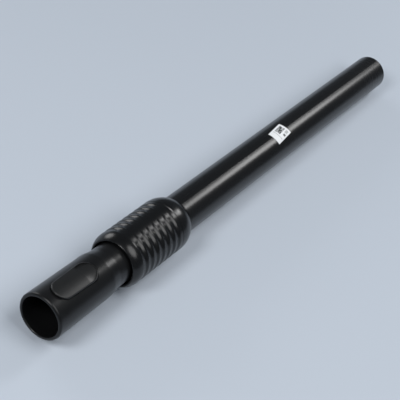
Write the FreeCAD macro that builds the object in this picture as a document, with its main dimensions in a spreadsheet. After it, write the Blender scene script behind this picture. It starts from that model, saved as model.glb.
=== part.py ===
"""Telescopic suction wand: a steel tube sliding in a wider one, a ribbed lock sleeve and a latched socket.

The wand lies along X. The origin is where the socket's bore begins behind its lip, +X runs to the plain
far end and +Z points up through the latch button. All sizes are in millimetres, for the closed wand.
"""

import math
import os

import FreeCAD
import Part
import Sketcher

doc = FreeCAD.newDocument("wand")
sheet = doc.addObject("Spreadsheet::Sheet", "sizes")

SIZES = {
    # the two tubes
    "tube_radius": 17.5,
    "tube_wall": 0.8,
    "tube_setback": 14.0,
    "tube_over": 40.0,
    "tube_turned": 0.2,
    "turned_over": 1.5,
    "slide_gap": 0.9,
    "inner_wall": 0.8,
    # the row of lock notches pressed into the inner tube
    "notch_pitch": 28.0,
    "notch_depth": 1.3,
    "notch_play": 0.1,
    "roller_radius": 1.8,
    "roller_length": 11.0,
    "roller_lift": 1.6,
    "roller_play": 0.06,
    # the socket that takes the hose handle
    "socket_under": 0.4,
    "socket_wall": 2.95,
    "socket_draft": 0.6,
    "socket_depth": 41.0,
    "lip_round": 0.9,
    "lip_ease": 1.9,
    "seat_step": 0.4,
    "seat_length": 16.0,
    "seat_web": 1.0,
    "shoulder_setback": 7.5,
    "shoulder_length": 9.5,
    "shoulder_round": 12.0,
    "neck_wall": 2.1,
    "neck_length": 19.5,
    "dish_radius": 14.0,
    "dish_depth": 1.2,
    "dish_setback": 12.0,
    "peg_radius": 2.4,
    "peg_play": 0.1,
    # the latch button, a rocker in a window of the socket
    "pad_setback": 18.5,
    "pad_length": 27.1,
    "pad_front_radius": 9.0,
    "pad_rear_radius": 9.7,
    "pad_gap": 0.45,
    "pad_rise": 1.05,
    "pad_fall": 0.65,
    "tail_lead": 4.6,
    "tail_fall": 0.15,
    "tail_inset": 0.95,
    "tail_depth": 0.85,
    "tail_bend": 32.0,
    "tail_base": 0.4,
    "pad_crown": 27.0,
    "pad_sink": 0.45,
    "pad_round": 1.05,
    "floor_wall": 0.9,
    "pivot_setback": 11.5,
    "pivot_drop": 2.1,
    "pivot_radius": 0.75,
    "pivot_play": 0.06,
    "pivot_out": 1.1,
    "web_length": 7.0,
    "web_inset": 0.9,
    "web_gap": 0.25,
    "lug_length": 5.0,
    "lug_rise": 1.1,
    "hook_lead": 1.6,
    "hook_length": 7.0,
    "hook_width": 10.0,
    "hook_depth": 1.2,
    "hook_gap": 0.5,
    "leaf_lead": 6.5,
    "leaf_length": 12.0,
    "leaf_width": 5.0,
    "leaf_thick": 0.3,
    "leaf_gap": 0.05,
    # the guide collar in the outer tube's near end
    "collar_gap": 0.5,
    "collar_lead": 23.0,
    "collar_lip": 1.0,
    "collar_flat_depth": 0.5,
    "collar_plug": 18.0,
    "collar_play": 0.05,
    "tube_fit": 0.05,
    "wiper_inset": 1.2,
    "wiper_length": 4.0,
    # the lock sleeve
    "sleeve_lap": 8.0,
    "sleeve_travel": 8.0,
    "sleeve_fit": 0.3,
    "sleeve_wall": 3.5,
    "mouth_gap": 0.8,
    "rim_wall": 1.6,
    "rim_round": 0.7,
    "barrel_wall": 2.4,
    "near_run": 9.1,
    "joint_setback": 6.5,
    "joint_chamfer": 0.4,
    "cap_straight": 3.5,
    "far_run": 15.0,
    "cap_rim": 0.9,
    "rib_near_gap": 0.3,
    "rib_far_gap": 3.8,
    "rib_depth": 0.95,
    "panel_bend": 17.1,
    "panel_rise": 0.05,
    "panel_turn": 8.0,
    # the cam ring, the stop ring and the return spring inside the sleeve
    "cam_lead": 14.0,
    "cam_length": 26.0,
    "cam_wall": 1.0,
    "cam_gap": 0.4,
    "cam_face_gap": 0.35,
    "cam_width": 16.0,
    "cam_play": 0.2,
    "coil_room": 28.0,
    "coil_wire": 0.6,
    "coil_loose": 1.1,
    "coil_gap": 0.05,
    "stop_length": 4.0,
    "stop_over": 0.5,
    "stop_gap": 0.1,
    "stop_slit": 2.0,
    # the guide at the inner tube's far end, and the paper label
    "guide_room": 46.0,
    "guide_length": 13.5,
    "guide_lip": 1.5,
    "guide_play": 0.05,
    "label_setback": 207.0,
    "label_length": 24.0,
    "label_width": 13.8,
    "label_thick": 0.12,
    "label_turn": -6.0,
    "label_skew": 5.5,
}
NOTCHES = 13
RIBS = 7
COIL_TURNS = 4


class Size:
    """A number together with the spreadsheet expression it comes from."""

    def __init__(self, text, value):
        self.text = text
        self.value = value

    @staticmethod
    def of(thing):
        if isinstance(thing, Size):
            return thing
        return Size(f"({thing})", float(thing))

    def join(self, sign, other, value):
        return Size(f"({self.text} {sign} {Size.of(other).text})", value)

    def __add__(self, other):
        return self.join("+", other, self.value + Size.of(other).value)

    def __sub__(self, other):
        return self.join("-", other, self.value - Size.of(other).value)

    def __mul__(self, other):
        return self.join("*", other, self.value * Size.of(other).value)

    def __truediv__(self, other):
        return self.join("/", other, self.value / Size.of(other).value)

    def __radd__(self, other):
        return Size.of(other) + self

    def __rsub__(self, other):
        return Size.of(other) - self

    def __rmul__(self, other):
        return Size.of(other) * self

    def __neg__(self):
        return 0 - self

    def root(self):
        return Size(f"sqrt({self.text})", math.sqrt(self.value))


class Sizes:
    """Named sizes, kept in the spreadsheet under the same names."""

    def __init__(self, table):
        for row, (name, value) in enumerate(table.items(), 1):
            sheet.set(f"A{row}", name)
            sheet.set(f"B{row}", str(value))
            sheet.setAlias(f"B{row}", name)
            setattr(self, name, Size(f"sizes.{name}", value))
        doc.recompute()


s = Sizes(SIZES)

# Radii that follow, from the tubes outwards
s.tube_bore = s.tube_radius - s.tube_wall
s.turned_radius = s.tube_radius - s.tube_turned
s.inner_radius = s.tube_bore - s.slide_gap
s.inner_bore = s.inner_radius - s.inner_wall
s.neck_radius = s.inner_radius + s.neck_wall
s.socket_radius = s.tube_radius - s.socket_under
s.mouth_radius = s.socket_radius + s.socket_wall
s.rear_radius = s.mouth_radius - s.socket_draft
s.seat_radius = s.socket_radius - s.seat_step
s.floor_radius = s.socket_radius + s.floor_wall
s.pad_top = s.mouth_radius + s.pad_rise
s.pad_step_top = s.pad_top - s.pad_fall
s.pad_under = s.mouth_radius - s.pad_sink
s.pivot_height = s.floor_radius - s.pivot_drop
s.pivot_reach = s.pad_front_radius + s.pivot_out
s.web_width = (s.pad_front_radius - s.web_inset) * 2
s.lug_top = s.pivot_height + s.lug_rise
s.collar_radius = s.tube_radius + s.collar_lip
s.collar_flat = s.collar_radius - s.collar_flat_depth
s.wiper_radius = s.collar_radius - s.wiper_inset
s.cam_radius = s.collar_radius + s.cam_gap
s.cam_face = s.collar_flat + s.cam_face_gap
s.coil_radius = s.tube_radius + s.coil_loose + s.coil_wire
s.stop_radius = s.coil_radius + s.coil_wire + s.stop_over
s.cavity_radius = s.stop_radius + s.sleeve_fit
s.bed_radius = s.cavity_radius + s.cam_wall
s.sleeve_radius = s.bed_radius + s.barrel_wall
s.sleeve_mouth = s.collar_radius + s.mouth_gap
s.sleeve_rim = s.sleeve_mouth + s.rim_wall
s.cap_bore = s.tube_radius + s.sleeve_fit
s.far_rim = s.cap_bore + s.cap_rim

# Places along the wand that follow, from the socket's mouth to the far end
s.mouth = -s.lip_round
s.socket_end = s.mouth + s.socket_depth
s.seat_end = s.socket_end + s.seat_length
s.inner_near = s.seat_end + s.seat_web
s.shoulder_near = s.inner_near + s.shoulder_setback
s.shoulder_far = s.shoulder_near + s.shoulder_length
s.neck_far = s.shoulder_far + s.neck_length
s.neck_peg_along = s.neck_far - s.neck_length / 2
s.dish_along = s.mouth + s.dish_setback
s.pad_front = s.mouth + s.pad_setback
s.pad_rear = s.pad_front + s.pad_length
s.pad_step_along = s.pad_rear - s.tail_lead
s.pivot_along = s.pad_front + s.pivot_setback
s.hook_along = s.pad_rear - s.hook_lead
s.leaf_near = s.pad_front - s.leaf_lead
s.leaf_far = s.leaf_near + s.leaf_length
s.collar_near = s.neck_far + s.collar_gap
s.lock_along = s.collar_near + s.collar_lead
s.tube_near = s.lock_along + s.tube_setback
s.collar_far = s.tube_near + s.collar_plug
s.collar_peg_along = s.tube_near + s.collar_plug / 2
s.inner_far = s.lock_along + s.notch_pitch * (NOTCHES - 1) + s.guide_room
s.tube_far = s.inner_far + s.tube_over
s.label_along = s.tube_far - s.label_setback
s.cam_near = s.lock_along - s.cam_lead
s.cam_far = s.cam_near + s.cam_length
s.stop_near = s.cam_far + s.coil_room
s.stop_far = s.stop_near + s.stop_length
s.sleeve_near = s.neck_far - s.sleeve_lap
s.near_shoulder = s.sleeve_near + s.near_run
s.sleeve_joint = s.stop_near - s.joint_setback
s.far_shoulder = s.sleeve_joint + s.cap_straight
s.sleeve_far = s.far_shoulder + s.far_run
s.ribs_near = s.near_shoulder + s.rib_near_gap
s.ribs_far = s.sleeve_joint - s.rib_far_gap
s.rib_pitch = (s.ribs_far - s.ribs_near) / RIBS

X_AXIS = FreeCAD.Rotation(FreeCAD.Vector(0, 0, 1), FreeCAD.Vector(1, 0, 0))
Y_AXIS = FreeCAD.Rotation(FreeCAD.Vector(0, 0, 1), FreeCAD.Vector(0, 1, 0))
Z_AXIS = FreeCAD.Rotation()


def bind(thing, values):
    for name, size in values.items():
        thing.setExpression(name, Size.of(size).text)
    return thing


def place(thing, at, rotation=Z_AXIS):
    thing.Placement = FreeCAD.Placement(FreeCAD.Vector(*(Size.of(a).value for a in at)), rotation)
    return bind(thing, {f"Placement.Base.{axis}": a for axis, a in zip("xyz", at)})


def cylinder(name, radius, length, at, rotation):
    rod = doc.addObject("Part::Cylinder", name)
    return place(bind(rod, {"Radius": radius, "Height": length}), at, rotation)


def box(name, low, size):
    block = doc.addObject("Part::Box", name)
    return place(bind(block, dict(zip(("Length", "Width", "Height"), size))), low)


def fuse(name, pieces):
    whole = doc.addObject("Part::MultiFuse", name)
    whole.Shapes = pieces
    whole.Refine = True
    return whole


def cut(name, base, tools):
    part = doc.addObject("Part::Cut", name)
    part.Base = base
    part.Tool = tools[0] if len(tools) == 1 else fuse(name + "_tools", tools)
    part.Refine = True
    return part


def common(name, first, second):
    part = doc.addObject("Part::MultiCommon", name)
    part.Shapes = [first, second]
    part.Refine = True
    return part


def on_plane(body, name, role):
    sketch = body.newObject("Sketcher::SketchObject", name)
    plane = next(o for o in body.Origin.OriginFeatures if o.Role == role)
    sketch.AttachmentSupport = (plane, [""])
    sketch.MapMode = "FlatFace"
    return sketch


def datum(sketch, kind, size, *where):
    sketch.addConstraint(Sketcher.Constraint(kind, *where, size.value))
    sketch.setExpression(f"Constraints[{sketch.ConstraintCount - 1}]", size.text)


def arc_between(start, end, radius):
    """The short arc from start to end, with its centre to the left of the way for a positive radius."""
    chord = end - start
    left = FreeCAD.Vector(-chord.y, chord.x, 0).normalize()
    reach = math.sqrt(radius * radius - chord.Length * chord.Length / 4)
    centre = (start + end) * 0.5 + left * math.copysign(reach, radius)
    first, last = (start, end) if radius > 0 else (end, start)
    from_angle = math.atan2(first.y - centre.y, first.x - centre.x)
    to_angle = math.atan2(last.y - centre.y, last.x - centre.x)
    if to_angle < from_angle:
        to_angle += 2 * math.pi
    return Part.ArcOfCircle(Part.Circle(centre, FreeCAD.Vector(0, 0, 1), abs(radius)), from_angle, to_angle)


def outline(sketch, corners):
    """A closed outline. Each corner is (along, out), or (along, out, radius) where an arc leads to it."""
    points = [FreeCAD.Vector(Size.of(c[0]).value, Size.of(c[1]).value, 0) for c in corners]
    backward = [len(corner) == 3 and Size.of(corner[2]).value < 0 for corner in corners]
    for number, corner in enumerate(corners):
        start, end = points[number - 1], points[number]
        if len(corner) == 3:
            sketch.addGeometry(arc_between(start, end, Size.of(corner[2]).value), False)
        else:
            sketch.addGeometry(Part.LineSegment(start, end), False)
    count = len(corners)
    for number, corner in enumerate(corners):
        after = (number + 1) % count
        end = 1 if backward[number] else 2
        begin = 2 if backward[after] else 1
        sketch.addConstraint(Sketcher.Constraint("Coincident", number, end, after, begin))
    for number, corner in enumerate(corners):
        end = 1 if backward[number] else 2
        datum(sketch, "DistanceX", Size.of(corner[0]), -1, 1, number, end)
        datum(sketch, "DistanceY", Size.of(corner[1]), -1, 1, number, end)
        if len(corner) == 3:
            radius = Size.of(corner[2])
            if radius.value < 0:
                radius = -radius
            datum(sketch, "Radius", radius, number)
    return sketch


def turned(label, corners, seam=0):
    """A body turned about the wand's axis, its seam so many degrees off the top."""
    body = doc.addObject("PartDesign::Body", label)
    sketch = outline(on_plane(body, label + "_profile", "XZ_Plane"), corners)
    off_top = FreeCAD.Rotation(FreeCAD.Vector(1, 0, 0), seam)
    sketch.AttachmentOffset = FreeCAD.Placement(FreeCAD.Vector(), off_top)
    turn = body.newObject("PartDesign::Revolution", label + "_turn")
    turn.Profile = sketch
    turn.ReferenceAxis = (sketch, ["H_Axis"])
    turn.Angle = 360
    sketch.Visibility = False
    body.Tip = turn
    doc.recompute()
    return body


def edges_at(shape, rings):
    """Names of the ring edges at each (along, radius)."""
    found = []
    for number, edge in enumerate(shape.Edges, 1):
        box_ = edge.BoundBox
        for along, radius in rings:
            flat = box_.XLength < 1e-4 and abs(box_.XMin - Size.of(along).value) < 1e-3
            if flat and abs(box_.ZMax - Size.of(radius).value) < 1e-3:
                found.append(f"Edge{number}")
    return found


def dress(body, kind, size_name, size, rings):
    """Rounds or bevels ring edges of a turned body."""
    base = body.Tip
    feature = body.newObject("PartDesign::" + kind, f"{body.Name}_{kind}_{len(body.Group)}".lower())
    feature.Base = (base, edges_at(base.Shape, rings))
    bind(feature, {size_name: size})
    body.Tip = feature
    doc.recompute()
    return body


def ring(label, near, far, inside, outside):
    return turned(label, [(near, inside), (near, outside), (far, outside), (far, inside)])


def prism(name, role, corners, length):
    """An outline in an origin plane, drawn out evenly to both sides."""
    body = doc.addObject("PartDesign::Body", name)
    sketch = outline(on_plane(body, name + "_outline", role), corners)
    pad = body.newObject("PartDesign::Pad", name + "_pad")
    pad.Profile = sketch
    pad.Midplane = True
    bind(pad, {"Length": length})
    sketch.Visibility = False
    body.Tip = pad
    doc.recompute()
    return body


def rounded_bar(body, name, grow):
    """The latch's outline from above: two unequal rounds joined by their tangents, widened by grow."""
    sketch = on_plane(body, name, "XY_Plane")
    front, rear = s.pad_front, s.pad_rear
    small, large = s.pad_front_radius + grow, s.pad_rear_radius + grow
    tilt = math.asin((large.value - small.value) / (rear.value - front.value))
    up = math.pi / 2 + tilt
    normal = FreeCAD.Vector(0, 0, 1)
    low = Part.Circle(FreeCAD.Vector(front.value, 0, 0), normal, small.value)
    high = Part.Circle(FreeCAD.Vector(rear.value, 0, 0), normal, large.value)
    first = Part.ArcOfCircle(low, up, 2 * math.pi - up)
    second = Part.ArcOfCircle(high, -up, up)
    sketch.addGeometry(first, False)
    sketch.addGeometry(Part.LineSegment(first.EndPoint, second.StartPoint), False)
    sketch.addGeometry(second, False)
    sketch.addGeometry(Part.LineSegment(second.EndPoint, first.StartPoint), False)
    for one, end, other, begin in ((0, 2, 1, 1), (1, 2, 2, 1), (2, 2, 3, 1), (3, 2, 0, 1)):
        sketch.addConstraint(Sketcher.Constraint("Tangent", one, end, other, begin))
    for arc, along, radius in ((0, front, small), (2, rear, large)):
        sketch.addConstraint(Sketcher.Constraint("PointOnObject", arc, 3, -1))
        datum(sketch, "DistanceX", along, -1, 1, arc, 3)
        datum(sketch, "Radius", radius, arc)
    return sketch


def bar_prism(name, grow, height):
    body = doc.addObject("PartDesign::Body", name)
    sketch = rounded_bar(body, name + "_outline", grow)
    pad = body.newObject("PartDesign::Pad", name + "_pad")
    pad.Profile = sketch
    bind(pad, {"Length": height})
    sketch.Visibility = False
    body.Tip = pad
    doc.recompute()
    return body


# Outer tube: a drawn tube with peg holes, turned down a hair under the sleeve, its seam just off the top
turned_far = s.sleeve_far + s.turned_over
tube_blank = turned("tube_blank", [
    (s.tube_near, s.tube_bore),
    (s.tube_near, s.turned_radius),
    (turned_far, s.turned_radius),
    (turned_far, s.tube_radius),
    (s.tube_far, s.tube_radius),
    (s.tube_far, s.tube_bore),
], seam=3.75)
dress(tube_blank, "Chamfer", "Size", s.tube_wall * 0.25, [(s.tube_far, s.tube_radius)])
collar_hole = cylinder(
    "collar_hole", s.peg_radius + s.peg_play, s.tube_radius * 4,
    (s.collar_peg_along, -s.tube_radius * 2, 0), Y_AXIS)
stop_middle = s.stop_near + s.stop_length / 2
stop_hole = cylinder(
    "stop_hole", s.stop_length * 0.35 + s.peg_play, s.tube_radius * 4,
    (stop_middle, -s.tube_radius * 2, 0), Y_AXIS)
outer_tube = cut("outer_tube", tube_blank, [collar_hole, stop_hole])

# Inner tube: a thinner tube with a row of cross notches pressed into its underside
inner_blank = ring("inner_blank", s.inner_near, s.inner_far, s.inner_bore, s.inner_radius)
notch_radius = s.roller_radius + s.notch_play
notch_height = -(s.inner_radius - s.notch_depth + notch_radius)
dents = []
presses = []
for number in range(NOTCHES):
    spot = (s.lock_along + s.notch_pitch * number, -s.inner_radius, notch_height)
    dents.append(cylinder(f"dent_{number}", notch_radius + s.inner_wall, s.inner_radius * 2, spot, Y_AXIS))
    presses.append(cylinder(f"press_{number}", notch_radius, s.inner_radius * 2, spot, Y_AXIS))
dent_limit = cylinder(
    "dent_limit", s.inner_radius - s.inner_wall / 2, s.inner_far - s.inner_near,
    (s.inner_near, 0, 0), X_AXIS)
dent_walls = common("dent_walls", fuse("dents", dents), dent_limit)
neck_hole = cylinder(
    "neck_hole", s.peg_radius + s.peg_play, s.inner_radius * 4,
    (s.neck_peg_along, -s.inner_radius * 2, 0), Y_AXIS)
inner_tube = cut("inner_tube", fuse("inner_pressed", [inner_blank, dent_walls]), presses + [neck_hole])

# Socket: a moulded sleeve with a rounded lip, a stepped bore, a sloped shoulder and a neck on the inner tube
socket_blank = turned("socket_blank", [
    (s.mouth, s.socket_radius),
    (s.mouth, s.mouth_radius),
    (s.shoulder_near, s.rear_radius),
    (s.shoulder_far, s.neck_radius),
    (s.neck_far, s.neck_radius),
    (s.neck_far, s.inner_radius),
    (s.inner_near, s.inner_radius),
    (s.inner_near, s.inner_bore),
    (s.seat_end, s.inner_bore),
    (s.seat_end, s.seat_radius),
    (s.socket_end + s.seat_step, s.seat_radius),
    (s.socket_end, s.socket_radius),
])
dress(socket_blank, "Fillet", "Radius", s.lip_round, [(s.mouth, s.socket_radius)])
dress(socket_blank, "Fillet", "Radius", s.lip_ease, [(s.mouth, s.mouth_radius)])
dress(socket_blank, "Fillet", "Radius", s.shoulder_round, [
    (s.shoulder_near, s.rear_radius), (s.shoulder_far, s.neck_radius)])
dish = cylinder(
    "dish", s.dish_radius, s.mouth_radius * 2,
    (s.dish_along, -s.mouth_radius, s.mouth_radius - s.dish_depth + s.dish_radius), Y_AXIS)
well = common(
    "well", bar_prism("well_bar", s.pad_gap, s.mouth_radius * 2),
    ring("well_ring", 0, s.shoulder_far, s.floor_radius, s.mouth_radius * 1.5))
web_room = box(
    "web_room",
    (s.pivot_along - s.web_length / 2 - s.web_gap * 4, -s.web_width / 2 - s.web_gap, s.pivot_height / 2),
    (s.web_length + s.web_gap * 8, s.web_width + s.web_gap * 2, s.pivot_height))
hook_room = box(
    "hook_room", (s.hook_along - s.hook_gap, -s.hook_width / 2 - s.hook_gap, s.pivot_height / 2),
    (s.hook_length + s.hook_gap * 2, s.hook_width + s.hook_gap * 2, s.pivot_height))
socket_open = cut("socket_open", socket_blank, [dish, well, web_room, hook_room])
lug_span = (s.pad_front_radius + s.pad_gap) * 2 + 2
lug_block = box(
    "lug_block", (s.pivot_along - s.lug_length / 2, -lug_span / 2, s.pivot_height / 2),
    (s.lug_length, lug_span, s.lug_top - s.pivot_height / 2))
lug_slot = box(
    "lug_slot", (s.pivot_along - s.lug_length, -s.web_width / 2 - s.web_gap, 0),
    (s.lug_length * 2, s.web_width + s.web_gap * 2, s.mouth_radius))
lug_shell = ring("lug_shell", 0, s.shoulder_far, s.socket_radius, s.mouth_radius - 0.3)
lugs = common("lugs", cut("lug_pair", lug_block, [lug_slot]), lug_shell)
pivot_hole_radius = s.pivot_radius + s.pivot_play
pivot_hole = cylinder(
    "pivot_hole", pivot_hole_radius, (s.pivot_reach + s.pivot_play) * 2,
    (s.pivot_along, -(s.pivot_reach + s.pivot_play), s.pivot_height), Y_AXIS)
neck_pin = cylinder(
    "neck_pin", s.peg_radius, (s.neck_radius - s.inner_wall / 4) * 2,
    (s.neck_peg_along, -(s.neck_radius - s.inner_wall / 4), 0), Y_AXIS)
neck_inside = cylinder(
    "neck_inside", s.inner_bore + s.inner_wall / 4, s.neck_far - s.inner_near, (s.inner_near, 0, 0), X_AXIS)
neck_pegs = cut("neck_pegs", neck_pin, [neck_inside])
socket_body = fuse("socket_body", [socket_open, lugs, neck_pegs])
tube_coupling = cut("tube_coupling", socket_body, [pivot_hole])

# Latch button: a crowned pad with a dished tail inside a raised rim, a pivot web below it and a hook behind
button_body = doc.addObject("PartDesign::Body", "button_pad")
button_outline = rounded_bar(button_body, "button_outline", s.pad_gap * 0)
button_block = button_body.newObject("PartDesign::Pad", "button_block")
button_block.Profile = button_outline
bind(button_block, {"Length": s.mouth_radius * 1.2})
button_body.Tip = button_block
doc.recompute()
front_end = s.pad_front - s.pad_front_radius
rear_end = s.pad_rear + s.pad_rear_radius
tail_top = s.pad_step_top - s.tail_fall
crown_axis = s.pad_top - s.pad_crown
pad_space = outline(on_plane(button_body, "pad_space", "XZ_Plane"), [
    (front_end - 2, s.pad_top),
    (s.pad_step_along, s.pad_step_top),
    (rear_end + 2, tail_top),
    (rear_end + 2, s.mouth_radius * 1.4),
    (front_end - 2, s.mouth_radius * 1.4),
])
pad_space.addGeometry(
    Part.LineSegment(FreeCAD.Vector(0, crown_axis.value, 0), FreeCAD.Vector(60, crown_axis.value, 0)), True)
crown_line = pad_space.GeometryCount - 1
pad_space.addConstraint(Sketcher.Constraint("Horizontal", crown_line))
datum(pad_space, "DistanceY", crown_axis, -1, 1, crown_line, 1)
datum(pad_space, "DistanceX", Size.of(0), -1, 1, crown_line, 1)
datum(pad_space, "DistanceX", s.pad_crown, crown_line, 1, crown_line, 2)
crown = button_body.newObject("PartDesign::Groove", "crown")
crown.Profile = pad_space
crown.ReferenceAxis = (pad_space, ["Axis0"])
crown.Angle = 360
button_body.Tip = crown
doc.recompute()
rim_edges = []
for number, edge in enumerate(crown.Shape.Edges, 1):
    middle = edge.valueAt((edge.FirstParameter + edge.LastParameter) / 2)
    along = min(max(middle.x, s.pad_front.value), s.pad_rear.value)
    widening = (s.pad_rear_radius.value - s.pad_front_radius.value) / (s.pad_rear.value - s.pad_front.value)
    reach = s.pad_front_radius.value + widening * (along - s.pad_front.value)
    on_wall = abs(math.hypot(middle.x - along, middle.y) - reach) < 0.05
    upright = edge.BoundBox.XLength < 0.01 and edge.BoundBox.YLength < 0.01
    if on_wall and not upright and middle.z > s.pivot_height.value:
        rim_edges.append(f"Edge{number}")
soft_edge = button_body.newObject("PartDesign::Fillet", "soft_edge")
soft_edge.Base = (crown, rim_edges)
bind(soft_edge, {"Radius": s.pad_round})
button_body.Tip = soft_edge
doc.recompute()
under_space = cylinder("under_space", s.pad_under, s.shoulder_far, (0, 0, 0), X_AXIS)
button_shell = cut("button_shell", button_body, [under_space])
button_shell.Refine = False
tail_shell = ring(
    "tail_shell", s.pad_step_along, s.shoulder_far, s.floor_radius + s.tail_base, s.pad_under + 0.05)
tail_floor_bar = bar_prism("tail_floor_bar", -s.tail_inset / 2, s.mouth_radius * 2)
tail_floor = common("tail_floor", tail_floor_bar, tail_shell)
web_shell = ring("web_shell", 0, s.shoulder_far, s.socket_radius + 0.1, s.pad_under + 0.2)
web_block = box(
    "web_block", (s.pivot_along - s.web_length / 2, -s.web_width / 2, s.pivot_height / 2),
    (s.web_length, s.web_width, s.mouth_radius))
web = common("web", web_block, web_shell)
trunnion_root = s.web_width / 2 - 0.05
trunnions = [
    cylinder(
        f"trunnion_{number}", s.pivot_radius, s.pivot_reach - trunnion_root,
        (s.pivot_along, start, s.pivot_height), Y_AXIS)
    for number, start in enumerate((trunnion_root, -s.pivot_reach))]
hook_tip = s.seat_radius - s.hook_depth
hook_top = s.floor_radius + s.tail_base + 0.4
hook = prism("hook", "XZ_Plane", [
    (s.hook_along, hook_top),
    (s.hook_along, hook_tip + s.hook_depth),
    (s.hook_along + s.hook_length * 0.6, hook_tip),
    (s.hook_along + s.hook_length, hook_tip),
    (s.hook_along + s.hook_length, hook_top),
], s.hook_width)
button_blank = fuse("button_blank", [button_shell, tail_floor, web, hook] + trunnions)
button_blank.Refine = False
tail_dish = turned("tail_dish", [
    (s.pad_step_along, s.pad_crown - s.pad_fall - s.tail_depth),
    (rear_end + 1, s.pad_crown - s.pad_fall - s.tail_fall, s.tail_bend),
    (rear_end + 1, s.pad_crown * 1.2),
    (s.pad_step_along, s.pad_crown * 1.2),
])
place(tail_dish, (0, 0, crown_axis))
tail_room = common("tail_room", bar_prism("tail_bar", -s.tail_inset, s.mouth_radius * 2), tail_dish)
latch_button = cut("latch_button", button_blank, [tail_room])
latch_button.Refine = False

# Latch spring: a bowed strip between the socket's thin floor and the pad's front
leaf_ceiling = (s.pad_under * s.pad_under - s.leaf_width * s.leaf_width / 4).root()
leaf_rise = leaf_ceiling - s.floor_radius - s.leaf_gap * 2 - s.leaf_thick
leaf_low = s.floor_radius + s.leaf_gap
leaf_middle = (s.leaf_near + s.leaf_far) / 2
leaf_half = (s.leaf_far - s.leaf_near) / 2
leaf_bend = (leaf_half * leaf_half + leaf_rise * leaf_rise) / (leaf_rise * 2)
latch_spring = prism("latch_spring", "XZ_Plane", [
    (s.leaf_near, leaf_low),
    (s.leaf_far, leaf_low, -leaf_bend),
    (s.leaf_far, leaf_low + s.leaf_thick),
    (s.leaf_near, leaf_low + s.leaf_thick, leaf_bend),
], s.leaf_width)

# Guide collar: a plug in the outer tube's end that carries the roller in a cross window
collar_blank = turned("collar_blank", [
    (s.collar_near, s.wiper_radius),
    (s.collar_near, s.collar_radius),
    (s.tube_near, s.collar_radius),
    (s.tube_near, s.tube_bore - s.tube_fit),
    (s.collar_far, s.tube_bore - s.tube_fit),
    (s.collar_far, s.inner_radius + s.collar_play),
    (s.collar_near + s.wiper_length, s.inner_radius + s.collar_play),
    (s.collar_near + s.wiper_length, s.wiper_radius),
])
roller_window = box(
    "roller_window",
    (s.lock_along - s.roller_radius - s.roller_play, -s.roller_length / 2 - s.roller_play, -s.sleeve_radius),
    ((s.roller_radius + s.roller_play) * 2, s.roller_length + s.roller_play * 2, s.sleeve_radius))
collar_under = box(
    "collar_under", (s.collar_near - 1, -s.sleeve_radius, -s.sleeve_radius),
    (s.tube_near - s.collar_near + 2, s.sleeve_radius * 2, s.sleeve_radius - s.collar_flat))
collar_pin = cylinder(
    "collar_pin", s.peg_radius, (s.turned_radius - s.tube_wall / 4) * 2,
    (s.collar_peg_along, -(s.turned_radius - s.tube_wall / 4), 0), Y_AXIS)
collar_inside = cylinder(
    "collar_inside", s.inner_radius + s.collar_play + s.tube_wall / 2, s.tube_far, (0, 0, 0), X_AXIS)
collar_pegs = cut("collar_pegs", collar_pin, [collar_inside])
collar_cut = cut("collar_cut", collar_blank, [roller_window, collar_under])
guide_collar = fuse("guide_collar", [collar_cut, collar_pegs])

# Wiper: a felt ring in the collar's mouth
wiper_ring = ring(
    "wiper_ring", s.collar_near, s.collar_near + s.wiper_length,
    s.inner_radius + s.collar_play / 2, s.wiper_radius)

# Lock roller: a steel pin that drops across a notch
lock_roller = turned("roller_blank", [
    (0, 0), (0, s.roller_radius), (s.roller_length, s.roller_radius), (s.roller_length, 0)])
dress(lock_roller, "Chamfer", "Size", s.roller_radius * 0.15, [
    (0, s.roller_radius), (s.roller_length, s.roller_radius)])
place(
    lock_roller, (s.lock_along, -s.roller_length / 2, notch_height),
    FreeCAD.Rotation(FreeCAD.Vector(0, 0, 1), 90))
lock_roller.Label = "lock_roller"

# Grip sleeve: a barrel with a round near shoulder and a wave of ribs, which fade into smooth thumb panels
near_rise = s.sleeve_radius - s.sleeve_rim
near_bend = (s.near_run * s.near_run + near_rise * near_rise) / (near_rise * 2)
quarter = s.rib_pitch / 4
half_depth = s.rib_depth / 2
wave_bend = (quarter * quarter + half_depth * half_depth) / (half_depth * 2)
wave = []
for number in range(RIBS):
    valley = s.ribs_near + s.rib_pitch * (number + 0.5)
    wave.append((valley - quarter, s.sleeve_radius - half_depth, -wave_bend))
    wave.append((valley + quarter, s.sleeve_radius - half_depth, wave_bend))
barrel = turned("barrel", [
    (s.sleeve_near, s.sleeve_mouth),
    (s.sleeve_near, s.sleeve_rim),
    (s.near_shoulder, s.sleeve_radius, -near_bend),
    (s.ribs_near, s.sleeve_radius),
] + wave + [
    (s.ribs_far, s.sleeve_radius, -wave_bend),
    (s.sleeve_joint, s.sleeve_radius),
    (s.sleeve_joint, s.bed_radius),
    (s.cam_near, s.bed_radius),
    (s.cam_near, s.cavity_radius),
    (s.sleeve_near + s.sleeve_wall, s.cavity_radius),
    (s.sleeve_near + s.sleeve_wall, s.sleeve_mouth),
])
dress(barrel, "Fillet", "Radius", s.rim_round, [
    (s.sleeve_near, s.sleeve_rim), (s.sleeve_near, s.sleeve_mouth)])
dress(barrel, "Chamfer", "Size", s.joint_chamfer, [(s.sleeve_joint, s.sleeve_radius)])
panel_lift = s.sleeve_radius + s.panel_rise * 2 - s.panel_bend
panel_bars = []
for number, side in enumerate((1, -1)):
    sideways = side * math.sin(math.radians(SIZES["panel_turn"]))
    upward = side * math.cos(math.radians(SIZES["panel_turn"]))
    panel_bars.append(cylinder(
        f"panel_bar_{number}", s.panel_bend, s.ribs_far - s.ribs_near,
        (s.ribs_near, panel_lift * sideways, panel_lift * upward), X_AXIS))
panel_shell = ring(
    "panel_shell", s.ribs_near, s.ribs_far, s.bed_radius + 0.5, s.sleeve_radius + s.panel_rise)
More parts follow.
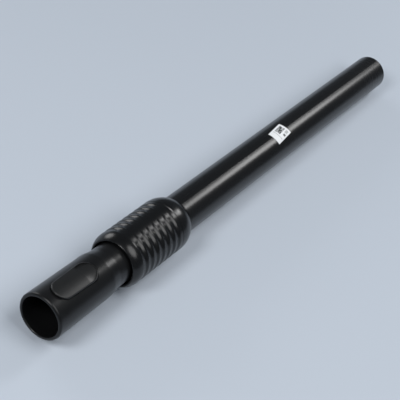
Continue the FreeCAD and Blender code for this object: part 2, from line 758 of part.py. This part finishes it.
panels = common("panels", fuse("panel_bars", panel_bars), panel_shell)
grip_sleeve = fuse("grip_sleeve", [barrel, panels])

# Sleeve cap: the far shoulder, with a spigot that holds the cam ring in the barrel
far_rise = s.sleeve_radius - s.far_rim
far_bend = (s.far_run * s.far_run + far_rise * far_rise) / (far_rise * 2)
sleeve_cap = turned("sleeve_cap", [
    (s.cam_far, s.cavity_radius),
    (s.cam_far, s.bed_radius),
    (s.sleeve_joint, s.bed_radius),
    (s.sleeve_joint, s.sleeve_radius),
    (s.far_shoulder, s.sleeve_radius),
    (s.sleeve_far, s.far_rim, -far_bend),
    (s.sleeve_far, s.cap_bore),
    (s.stop_far + s.stop_gap, s.cap_bore),
    (s.stop_far + s.stop_gap, s.cavity_radius),
])
dress(sleeve_cap, "Chamfer", "Size", s.joint_chamfer, [(s.sleeve_joint, s.sleeve_radius)])
dress(sleeve_cap, "Fillet", "Radius", s.rim_round / 2, [(s.sleeve_far, s.far_rim)])

# Cam ring: a liner in the sleeve with a sloped pocket over the roller
cam_blank = ring("cam_blank", s.cam_near, s.cam_far, s.cam_radius, s.bed_radius)
cam_slab = box(
    "cam_slab", (s.cam_near, -s.cam_width / 2, -s.bed_radius),
    (s.cam_length, s.cam_width, s.bed_radius - s.cam_face))
cam_limit = cylinder("cam_limit", s.bed_radius, s.cam_length, (s.cam_near, 0, 0), X_AXIS)
roller_out = s.roller_radius - notch_height
cam_slope = s.roller_lift / s.sleeve_travel
pocket_side = s.roller_radius + s.cam_play * 2
ramp_low = -(roller_out + s.cam_play)
ramp_high = ramp_low - s.roller_lift
cam_pocket = prism("cam_pocket", "XZ_Plane", [
    (s.lock_along + pocket_side, -s.inner_radius),
    (s.lock_along + pocket_side, ramp_low + cam_slope * pocket_side),
    (s.lock_along - s.sleeve_travel, ramp_high),
    (s.lock_along - s.sleeve_travel - pocket_side, ramp_high),
    (s.lock_along - s.sleeve_travel - pocket_side, -s.inner_radius),
], s.roller_length + s.cam_play * 3)
cam_body = fuse("cam_body", [cam_blank, common("cam_block", cam_slab, cam_limit)])
cam_ring = cut("cam_ring", cam_body, [cam_pocket])

# Stop ring: a split ring pegged to the outer tube, the seat of the return spring
stop_blank = ring("stop_blank", s.stop_near, s.stop_far, s.turned_radius, s.stop_radius)
stop_pin = cylinder(
    "stop_pin", s.stop_length * 0.35, (s.tube_radius + 0.5) * 2,
    (stop_middle, -s.tube_radius - 0.5, 0), Y_AXIS)
stop_inside = cylinder("stop_inside", s.tube_bore + s.tube_wall / 4, s.tube_far, (0, 0, 0), X_AXIS)
stop_pegs = cut("stop_pegs", stop_pin, [stop_inside])
stop_gap = box(
    "stop_opening", (s.stop_near - 1, -s.stop_slit / 2, -s.sleeve_radius),
    (s.stop_length + 2, s.stop_slit, s.sleeve_radius))
stop_ring = fuse("stop_ring", [cut("stop_split", stop_blank, [stop_gap]), stop_pegs])

# Return spring: a coil of tilted half turns round the outer tube, between the cam ring and the stop ring
HALF_TURNS = COIL_TURNS * 2
half_rise = (s.coil_room - s.coil_wire * 2 - s.coil_gap * 2) / HALF_TURNS
half_radius = (s.coil_radius * s.coil_radius + half_rise * half_rise / 4).root()
half_turns = []
for number in range(HALF_TURNS):
    side = -1 if number % 2 else 1
    half_turn = doc.addObject("Part::Torus", f"half_turn_{number}")
    bind(half_turn, {"Radius1": half_radius, "Radius2": s.coil_wire})
    half_turn.Angle3 = 180
    outward = FreeCAD.Vector(-half_rise.value / 2, 0, side * s.coil_radius.value).normalize()
    onward = FreeCAD.Vector(0, side, 0)
    tilt = FreeCAD.Rotation(outward, onward, outward.cross(onward), "XYZ")
    middle_along = s.cam_far + s.coil_gap + s.coil_wire + half_rise * (number + 0.5)
    half_turns.append(place(half_turn, (middle_along, 0, 0), tilt))
return_spring = fuse("return_spring", half_turns)

# End guide: a ring on the inner tube's far end that runs in the outer tube and stops it at full length
end_guide = turned("end_guide", [
    (s.inner_far - s.guide_length, s.inner_radius),
    (s.inner_far - s.guide_length, s.tube_bore - s.guide_play),
    (s.inner_far + s.guide_lip, s.tube_bore - s.guide_play),
    (s.inner_far + s.guide_lip, s.inner_bore),
    (s.inner_far, s.inner_bore),
    (s.inner_far, s.inner_radius),
])

# Label: a thin paper patch on the outer tube, stuck on a little askew
label_film = ring("label_film", s.tube_near, s.tube_far, s.tube_radius, s.tube_radius + s.label_thick)
patch = doc.addObject("Part::Box", "label_patch")
bind(patch, {"Length": s.label_length, "Width": s.label_width, "Height": s.tube_radius * 2})
lean = FreeCAD.Rotation(FreeCAD.Vector(1, 0, 0), -SIZES["label_turn"])
skew = FreeCAD.Rotation(FreeCAD.Vector(0, 0, 1), SIZES["label_skew"])
middle = FreeCAD.Vector(SIZES["label_length"] / 2, SIZES["label_width"] / 2, 0)
turn_patch = lean.multiply(skew)
corner = FreeCAD.Vector(s.label_along.value, 0, 0) - turn_patch.multVec(middle)
patch.Placement = FreeCAD.Placement(corner, turn_patch)
tube_label = common("tube_label", label_film, patch)

NODES = [
    outer_tube, guide_collar, wiper_ring, stop_ring, tube_label, inner_tube, tube_coupling, end_guide,
    latch_button, latch_spring, lock_roller, grip_sleeve, sleeve_cap, cam_ring, return_spring,
]

doc.recompute()
for thing in doc.Objects:
    if "Invalid" in thing.State or "Error" in thing.State:
        raise RuntimeError(f"{thing.Label} did not build: {thing.State}")
os.makedirs("parts", exist_ok=True)
for node in NODES:
    shape = node.Shape
    if shape.isNull() or not shape.isValid():
        raise RuntimeError(f"{node.Label} has no valid shape")
    if len(shape.Solids) != 1:
        raise RuntimeError(f"{node.Label} has {len(shape.Solids)} solids")
    shape.exportStep(f"parts/{node.Label}.step")
    span = shape.BoundBox
    print(f"{node.Label}: {shape.Volume:.1f} mm3, x {span.XMin:.2f} to {span.XMax:.2f}")
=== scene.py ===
"""Looks of the telescopic suction wand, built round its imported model."""

import math

import bmesh
import bpy
from mathutils import Matrix, Vector


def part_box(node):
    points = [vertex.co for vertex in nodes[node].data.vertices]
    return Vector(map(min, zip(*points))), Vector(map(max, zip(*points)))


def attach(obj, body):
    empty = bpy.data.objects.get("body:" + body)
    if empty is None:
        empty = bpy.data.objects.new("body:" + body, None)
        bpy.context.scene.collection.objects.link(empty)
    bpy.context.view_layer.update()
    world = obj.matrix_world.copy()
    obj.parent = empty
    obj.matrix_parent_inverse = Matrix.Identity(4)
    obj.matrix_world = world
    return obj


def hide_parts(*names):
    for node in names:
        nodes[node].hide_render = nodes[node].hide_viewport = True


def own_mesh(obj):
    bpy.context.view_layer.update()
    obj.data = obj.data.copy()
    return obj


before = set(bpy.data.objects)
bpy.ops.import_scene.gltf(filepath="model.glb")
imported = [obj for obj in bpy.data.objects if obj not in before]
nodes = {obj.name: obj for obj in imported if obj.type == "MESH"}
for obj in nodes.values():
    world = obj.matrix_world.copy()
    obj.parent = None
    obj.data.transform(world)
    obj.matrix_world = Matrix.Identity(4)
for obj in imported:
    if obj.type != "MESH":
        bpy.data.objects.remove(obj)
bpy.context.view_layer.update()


# Outer tube: drawn steel, 35 mm across, powder coated satin black inside and out.
# The coat lies like fine orange peel and carries hair scratches along the tube; the last stretch, where
# the nozzle is pushed on, is rubbed in fine rings.
class Signal:
    """A socket in a node tree. Arithmetic on signals adds Math nodes, and node() adds any other node."""

    def __init__(self, tree, socket=None):
        self.tree = tree
        self.socket = socket

    def node(self, kind, settings, sockets, output=0):
        made = self.tree.nodes.new(kind)
        for name, value in settings.items():
            if name == "stops":
                ramp = made.color_ramp.elements
                while len(ramp) < len(value):
                    ramp.new(0.5)
                for stop, (place, shade) in zip(ramp, value):
                    stop.position = place
                    stop.color = (*shade, 1)
            else:
                setattr(made, name, value)
        for name, value in sockets.items():
            if isinstance(value, Signal):
                self.tree.links.new(value.socket, made.inputs[name])
            else:
                made.inputs[name].default_value = value
        return Signal(self.tree, made.outputs[output])

    def math(self, operation, *values):
        return self.node("ShaderNodeMath", {"operation": operation}, dict(enumerate(values)))

    def __add__(self, other):
        return self.math("ADD", self, other)

    def __radd__(self, other):
        return self.math("ADD", other, self)

    def __sub__(self, other):
        return self.math("SUBTRACT", self, other)

    def __rsub__(self, other):
        return self.math("SUBTRACT", other, self)

    def __mul__(self, other):
        return self.math("MULTIPLY", self, other)

    def __rmul__(self, other):
        return self.math("MULTIPLY", other, self)

    def __abs__(self):
        return self.math("ABSOLUTE", self)

    def __lt__(self, other):
        return self.math("LESS_THAN", self, other)

    def __gt__(self, other):
        return self.math("GREATER_THAN", self, other)


def finish(name, constants):
    """A material with one principled shader: gives it, a signal to build on and the shader."""
    material = bpy.data.materials.new(name)
    material.use_nodes = True
    tree = material.node_tree
    shader = tree.nodes["Principled BSDF"]
    for socket, value in constants.items():
        shader.inputs[socket].default_value = value
    return material, Signal(tree), shader


def feed(shader, sockets):
    """Links signals to the shader's sockets."""
    for name, signal in sockets.items():
        signal.tree.links.new(signal.socket, shader.inputs[name])


def own_axis(start, axis):
    """One coordinate of the piece's own space, in metres."""
    place = start.node("ShaderNodeTexCoord", {}, {}, "Object")
    return start.node("ShaderNodeSeparateXYZ", {}, {"Vector": place}, axis)


def grain(start, size, detail=2.0, stretch=(1, 1, 1)):
    """Noise of the given grain size in metres, in the piece's own space; a small stretch draws it out."""
    place = start.node("ShaderNodeTexCoord", {}, {}, "Object")
    scale = tuple(share / size for share in stretch)
    scaled = start.node("ShaderNodeMapping", {}, {"Vector": place, "Scale": scale})
    return start.node("ShaderNodeTexNoise", {}, {"Vector": scaled, "Scale": 1.0, "Detail": detail})


def bumped(start, height, depth):
    """A normal roughened by a height of the given depth in metres."""
    return start.node("ShaderNodeBump", {}, {"Height": height, "Distance": depth, "Strength": 1.0})


def tinted(start, mask, dark, light):
    """A colour between two shades."""
    return start.node("ShaderNodeValToRGB", {"stops": [(0.0, dark), (1.0, light)]}, {"Fac": mask})


def clad(node, material):
    """Gives a carried-over solid its finish."""
    mesh = nodes[node].data
    mesh.materials.clear()
    mesh.materials.append(material)


nozzle_reach = 0.494


def powder_coat():
    material, start, shader = finish("powder_coat", {"IOR": 1.5, "Specular IOR Level": 0.42})
    peel = grain(start, 0.0011, 1.0)
    haze = grain(start, 0.06)
    hairs = grain(start, 0.0012, 3.0, (0.02, 1, 1))
    rings = grain(start, 0.0005, 2.0, (1, 0.02, 0.02))
    scratch = (hairs > 0.72) * 0.05
    rubbed = (own_axis(start, "X") > nozzle_reach) * (rings > 0.60) * 0.05
    feed(shader, {
        "Base Color": tinted(start, haze, (0.0042, 0.0044, 0.0047), (0.0066, 0.0068, 0.0072)),
        "Roughness": 0.24 + haze * 0.05 + scratch + rubbed,
        "Normal": bumped(start, peel, 0.000012),
    })
    return material


clad("outer_tube", powder_coat())


# Collar, stop ring, cam ring and end guide: black acetal turnings hidden in the sleeve and the tube.
# They run on the tubes dry, so their faces are burnished where they rub.
def acetal():
    material, start, shader = finish("acetal", {"IOR": 1.48})
    rub = grain(start, 0.0009, 2.0, (0.3, 1, 1))
    feed(shader, {
        "Base Color": tinted(start, rub, (0.022, 0.022, 0.024), (0.035, 0.035, 0.037)),
        "Roughness": 0.38 + rub * 0.15,
        "Normal": bumped(start, rub, 0.00001),
    })
    return material


acetal_black = acetal()
for ring in ("guide_collar", "stop_ring", "cam_ring", "end_guide"):
    clad(ring, acetal_black)


# Wiper: a ring of grey wool felt pressed into the collar's mouth.
# It keeps grit off the sliding tube; its fibres stand loose.
def felt():
    material, start, shader = finish("felt", {"Sheen Weight": 0.4, "Specular IOR Level": 0.2})
    fibre = grain(start, 0.0006, 4.0, (1, 0.4, 1))
    feed(shader, {
        "Base Color": tinted(start, fibre, (0.10, 0.10, 0.11), (0.26, 0.25, 0.25)),
        "Roughness": 0.85 + fibre * 0.1,
        "Normal": bumped(start, fibre, 0.0002),
    })
    return material


clad("wiper_ring", felt())


# Inner tube: a drawn steel tube, chromed, with the row of lock notches pressed into its underside.
# Drawing leaves faint lines along it, and hands leave smears.
def chrome():
    material, start, shader = finish("chrome", {"Metallic": 1.0})
    lines = grain(start, 0.0008, 3.0, (0.01, 1, 1))
    smear = grain(start, 0.03)
    feed(shader, {
        "Base Color": tinted(start, smear, (0.60, 0.61, 0.63), (0.72, 0.73, 0.75)),
        "Roughness": 0.07 + lines * 0.08 + smear * 0.05,
        "Normal": bumped(start, lines, 0.000003),
    })
    return material


clad("inner_tube", chrome())


# Socket: a satin black moulding, from a tool with a fine spark finish, pushed on the inner tube.
# It shows a faint parting line down both sides and is smoothed a little by handling.
parting_half = 0.00009


def satin_plastic():
    material, start, shader = finish("satin_plastic", {"IOR": 1.5, "Specular IOR Level": 0.34})
    spark = grain(start, 0.0005, 2.0)
    handling = grain(start, 0.018, 3.0)
    parting = abs(own_axis(start, "Z")) < parting_half
    feed(shader, {
        "Base Color": tinted(start, handling, (0.0050, 0.0052, 0.0056), (0.0078, 0.0080, 0.0085)),
        "Roughness": 0.26 + handling * 0.08,
        "Normal": bumped(start, spark + parting * 4.0, 0.000008),
    })
    return material


clad("tube_coupling", satin_plastic())


# Latch button: a rocker of the same black plastic, hung in the socket's window on two moulded pins.
# Its face has a deeper, matt spark finish that thumbs rub smoother in patches. Its base shades are a
# painted sheen: they are set lighter than the socket's black so the face looks greyer.
def thumb_plastic_painted_sheen():
    material, start, shader = finish("thumb_plastic_painted_sheen", {"IOR": 1.5})
    spark = grain(start, 0.0004, 2.0)
    rub = grain(start, 0.008, 2.0)
    feed(shader, {
        # Painted sheen: both shades are lighter than the socket's black; only the patchy change between
        # them is real rubbing.
        "Base Color": tinted(start, rub, (0.0085, 0.0088, 0.0090), (0.0115, 0.0118, 0.0120)),
        "Roughness": 0.34 + rub * 0.08,
        "Normal": bumped(start, spark, 0.000012),
    })
    return material


clad("latch_button", thumb_plastic_painted_sheen())


# Lock roller, latch leaf and sleeve coil: bright spring steel, ground and drawn.
# The leaf is a bowed strip under the button's front and flattens as that is pressed; the sleeve closes
# the coil up against the stop ring.
def spring_steel():
    material, start, shader = finish("spring_steel", {"Metallic": 1.0})
    draw = grain(start, 0.0006, 3.0)
    feed(shader, {
        "Base Color": tinted(start, draw, (0.42, 0.42, 0.43), (0.58, 0.58, 0.59)),
        "Roughness": 0.22 + draw * 0.15,
        "Normal": bumped(start, draw, 0.000006),
    })
    return material


def made_piece(name, shape, material):
    """Turns a finished bmesh into an object with its material."""
    bmesh.ops.remove_doubles(shape, verts=shape.verts, dist=1e-7)
    bmesh.ops.recalc_face_normals(shape, faces=shape.faces)
    mesh = bpy.data.meshes.new(name)
    shape.to_mesh(mesh)
    shape.free()
    mesh.materials.append(material)
    thing = bpy.data.objects.new(name, mesh)
    bpy.context.scene.collection.objects.link(thing)
    return thing


bright_steel = spring_steel()
clad("lock_roller", bright_steel)

leaf_low, leaf_high = (Vector(corner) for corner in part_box("latch_spring"))
leaf_thick = 0.0003
leaf_steps = 24
leaf_width = leaf_high.y - leaf_low.y
leaf_half = (leaf_high.x - leaf_low.x) / 2
leaf_rise = leaf_high.z - leaf_low.z - leaf_thick
leaf_bend = (leaf_half ** 2 + leaf_rise ** 2) / (2 * leaf_rise)
strip = bmesh.new()
bmesh.ops.create_grid(strip, x_segments=1, y_segments=1, size=0.5)
bmesh.ops.scale(strip, vec=(leaf_thick, leaf_width, 1), verts=strip.verts)
bmesh.ops.rotate(strip, cent=(0, 0, 0), matrix=Matrix.Rotation(math.pi / 2, 3, "Y"), verts=strip.verts)
bmesh.ops.translate(strip, vec=(leaf_low.x, 0, leaf_low.z + leaf_thick / 2), verts=strip.verts)
bmesh.ops.spin(
    strip, geom=strip.verts[:] + strip.edges[:] + strip.faces[:], axis=(0, 1, 0), steps=leaf_steps,
    angle=2 * math.asin(leaf_half / leaf_bend),
    cent=(leaf_low.x + leaf_half, 0, leaf_low.z + leaf_thick / 2 + leaf_rise - leaf_bend))
leaf = made_piece("latch_leaf", strip, bright_steel)
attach(leaf, "inner_tube")
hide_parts("latch_spring")
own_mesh(leaf)

coil_low, coil_high = (Vector(corner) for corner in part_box("return_spring"))
coil_wire = 0.0006
wire_sides = 12
coil_radius = (coil_high.y - coil_low.y) / 2 - coil_wire
coil_stop = 0.1571
coil_start = 0.1291 + coil_wire
coil_turns = 4
coil_steps = 36 * coil_turns
wire = bmesh.new()
bmesh.ops.create_circle(wire, cap_ends=True, segments=wire_sides, radius=coil_wire)
bmesh.ops.rotate(wire, cent=(0, 0, 0), matrix=Matrix.Rotation(math.pi / 2, 3, "X"), verts=wire.verts)
bmesh.ops.translate(wire, vec=(coil_start, 0, coil_radius), verts=wire.verts)
bmesh.ops.spin(
    wire, geom=wire.verts[:] + wire.edges[:] + wire.faces[:], cent=(0, 0, 0), axis=(1, 0, 0),
    steps=coil_steps, angle=2 * math.pi * coil_turns,
    dvec=((coil_stop - coil_wire - coil_start) / coil_steps, 0, 0))
coil = made_piece("sleeve_coil", wire, bright_steel)
coil.data.shade_smooth()
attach(coil, "outer_tube")
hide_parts("return_spring")
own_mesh(coil)


# Lock sleeve: a ribbed barrel and its far cap, glossy black mouldings pushed together.
# The gloss is broken by fine sink marks and by the haze of handling.
def gloss_plastic():
    material, start, shader = finish("gloss_plastic", {"IOR": 1.5, "Specular IOR Level": 0.42})
    touch = grain(start, 0.014, 3.0)
    feed(shader, {
        "Base Color": tinted(start, touch, (0.0036, 0.0038, 0.0040), (0.0056, 0.0058, 0.0062)),
        "Roughness": 0.20 + touch * 0.09,
        "Normal": bumped(start, grain(start, 0.003, 1.0), 0.00001),
    })
    return material


gloss_black = gloss_plastic()
clad("grip_sleeve", gloss_black)
clad("sleeve_cap", gloss_black)


# Label: a white paper patch stuck on the tube a little askew.
# Its print is generic: a block of small squares, two small fields and a fine dashed line.
label_middle = (0.3321, 0, 0)
label_turn = (math.radians(6), 0, math.radians(5.5))
label_size = (0.024, 0.0138, 1)


def label_paper():
    material, start, shader = finish("label_paper", {"IOR": 1.45})
    fibre = grain(start, 0.0007, 3.0)
    place = start.node("ShaderNodeTexCoord", {}, {}, "Object")
    laid = start.node("ShaderNodeMapping", {"vector_type": "TEXTURE"}, {
        "Vector": place, "Location": label_middle, "Rotation": label_turn, "Scale": label_size})
    along = start.node("ShaderNodeSeparateXYZ", {}, {"Vector": laid}, "X")
    across = start.node("ShaderNodeSeparateXYZ", {}, {"Vector": laid}, "Y")

    def field(middle, half):
        """A printed rectangle, in shares of the label's size."""
        return (abs(along - middle[0]) < half[0]) * (abs(across - middle[1]) < half[1])

    stepped = start.node("ShaderNodeCombineXYZ", {}, {
        "X": start.math("FLOOR", along * 34.0), "Y": start.math("FLOOR", across * 20.0)})
    scatter = start.node("ShaderNodeTexWhiteNoise", {"noise_dimensions": "2D"}, {"Vector": stepped})
    squares = scatter > 0.30
    dashes = start.math("FRACT", across * 16.0) > 0.35
    ink = field((0.15, 0.16), (0.235, 0.21)) * squares
    ink = ink + field((0.30, -0.27), (0.10, 0.10)) * 0.35
    ink = ink + field((0.08, -0.31), (0.06, 0.09)) * 0.85
    ink = ink + field((-0.19, 0.0), (0.018, 0.41)) * dashes * 0.6
    feed(shader, {
        "Base Color": start.node("ShaderNodeValToRGB", {"stops": [
            (0.0, (0.87, 0.89, 0.91)), (0.5, (0.28, 0.30, 0.30)), (1.0, (0.02, 0.022, 0.022))]},
            {"Fac": ink * (0.8 + fibre * 0.3)}),
        "Roughness": 0.42 + fibre * 0.1,
        "Normal": bumped(start, fibre, 0.000006),
    })
    return material


clad("tube_label", label_paper())


# Stage: a pale floor that touches the sleeve and the tube's far end, and four soft lights: a long one
# beyond the far end, a low one on the left, a broad one on the right and a small one high before the
# mouth. The camera stands at the photograph's angle.
floor_half = 6
floor_clearance = 0.0003
sleeve_touch = Vector((0.155, 0, -0.024))
tube_touch = Vector((0.539, 0, -0.0175))
slope = (tube_touch.z - sleeve_touch.z) / (tube_touch.x - sleeve_touch.x)
ground = bmesh.new()
bmesh.ops.create_grid(ground, x_segments=1, y_segments=1, size=floor_half)
for corner in ground.verts:
    corner.co.z = sleeve_touch.z - floor_clearance + slope * (corner.co.x - sleeve_touch.x)
floor_mesh = bpy.data.meshes.new("floor")
ground.to_mesh(floor_mesh)
ground.free()
floor = bpy.data.objects.new("floor", floor_mesh)
bpy.context.scene.collection.objects.link(floor)
floor_paint, floor_start, floor_shader = finish(
    "floor_paint", {"Roughness": 0.9, "Specular IOR Level": 0.1})
floor_cloud = grain(floor_start, 0.5)
feed(floor_shader, {
    "Base Color": tinted(floor_start, floor_cloud, (0.53, 0.585, 0.66), (0.55, 0.605, 0.68)),
})
floor_mesh.materials.append(floor_paint)


def soft_light(name, place, aim, size, power):
    """An oval area lamp that faces a point."""
    lamp = bpy.data.lights.new(name, "AREA")
    lamp.shape = "ELLIPSE"
    lamp.size, lamp.size_y = size
    lamp.energy = power
    thing = bpy.data.objects.new(name, lamp)
    thing.location = place
    thing.rotation_euler = (Vector(aim) - Vector(place)).to_track_quat("-Z", "Y").to_euler()
    bpy.context.scene.collection.objects.link(thing)


soft_light("overhead", (1.51, -0.22, 1.0), (1.51, -0.22, 0.0), (0.92, 0.43), 9.3)
soft_light("left", (0.35, 1.25, 0.38), (0.15, 0.0, 0.0), (0.70, 0.58), 3.8)
soft_light("right", (0.16, -0.54, 1.05), (0.12, 0.0, 0.0), (0.74, 0.96), 6.6)
soft_light("front", (-0.95, 0.25, 1.05), (0.12, 0.0, 0.0), (0.48, 0.48), 11.0)

world = bpy.data.worlds.new("studio")
world.use_nodes = True
sky = world.node_tree.nodes["Background"]
sky.inputs["Color"].default_value = (0.6, 0.68, 0.78, 1)
sky.inputs["Strength"].default_value = 0.16
bpy.context.scene.world = world

lens = bpy.data.cameras.new("camera")
lens.lens = 101.7
lens.sensor_width = 36.0
camera = bpy.data.objects.new("camera", lens)
stand = Vector((-0.49685, -0.22967, 0.63103))
right = Vector((0.55232, -0.76001, 0.34251))
up = Vector((0.41227, 0.60614, 0.68017))
facing = Matrix((right, up, right.cross(up))).transposed()
camera.matrix_world = Matrix.Translation(stand) @ facing.to_4x4()
bpy.context.scene.collection.objects.link(camera)
bpy.context.scene.camera = camera
bpy.context.scene.view_settings.view_transform = "Standard"
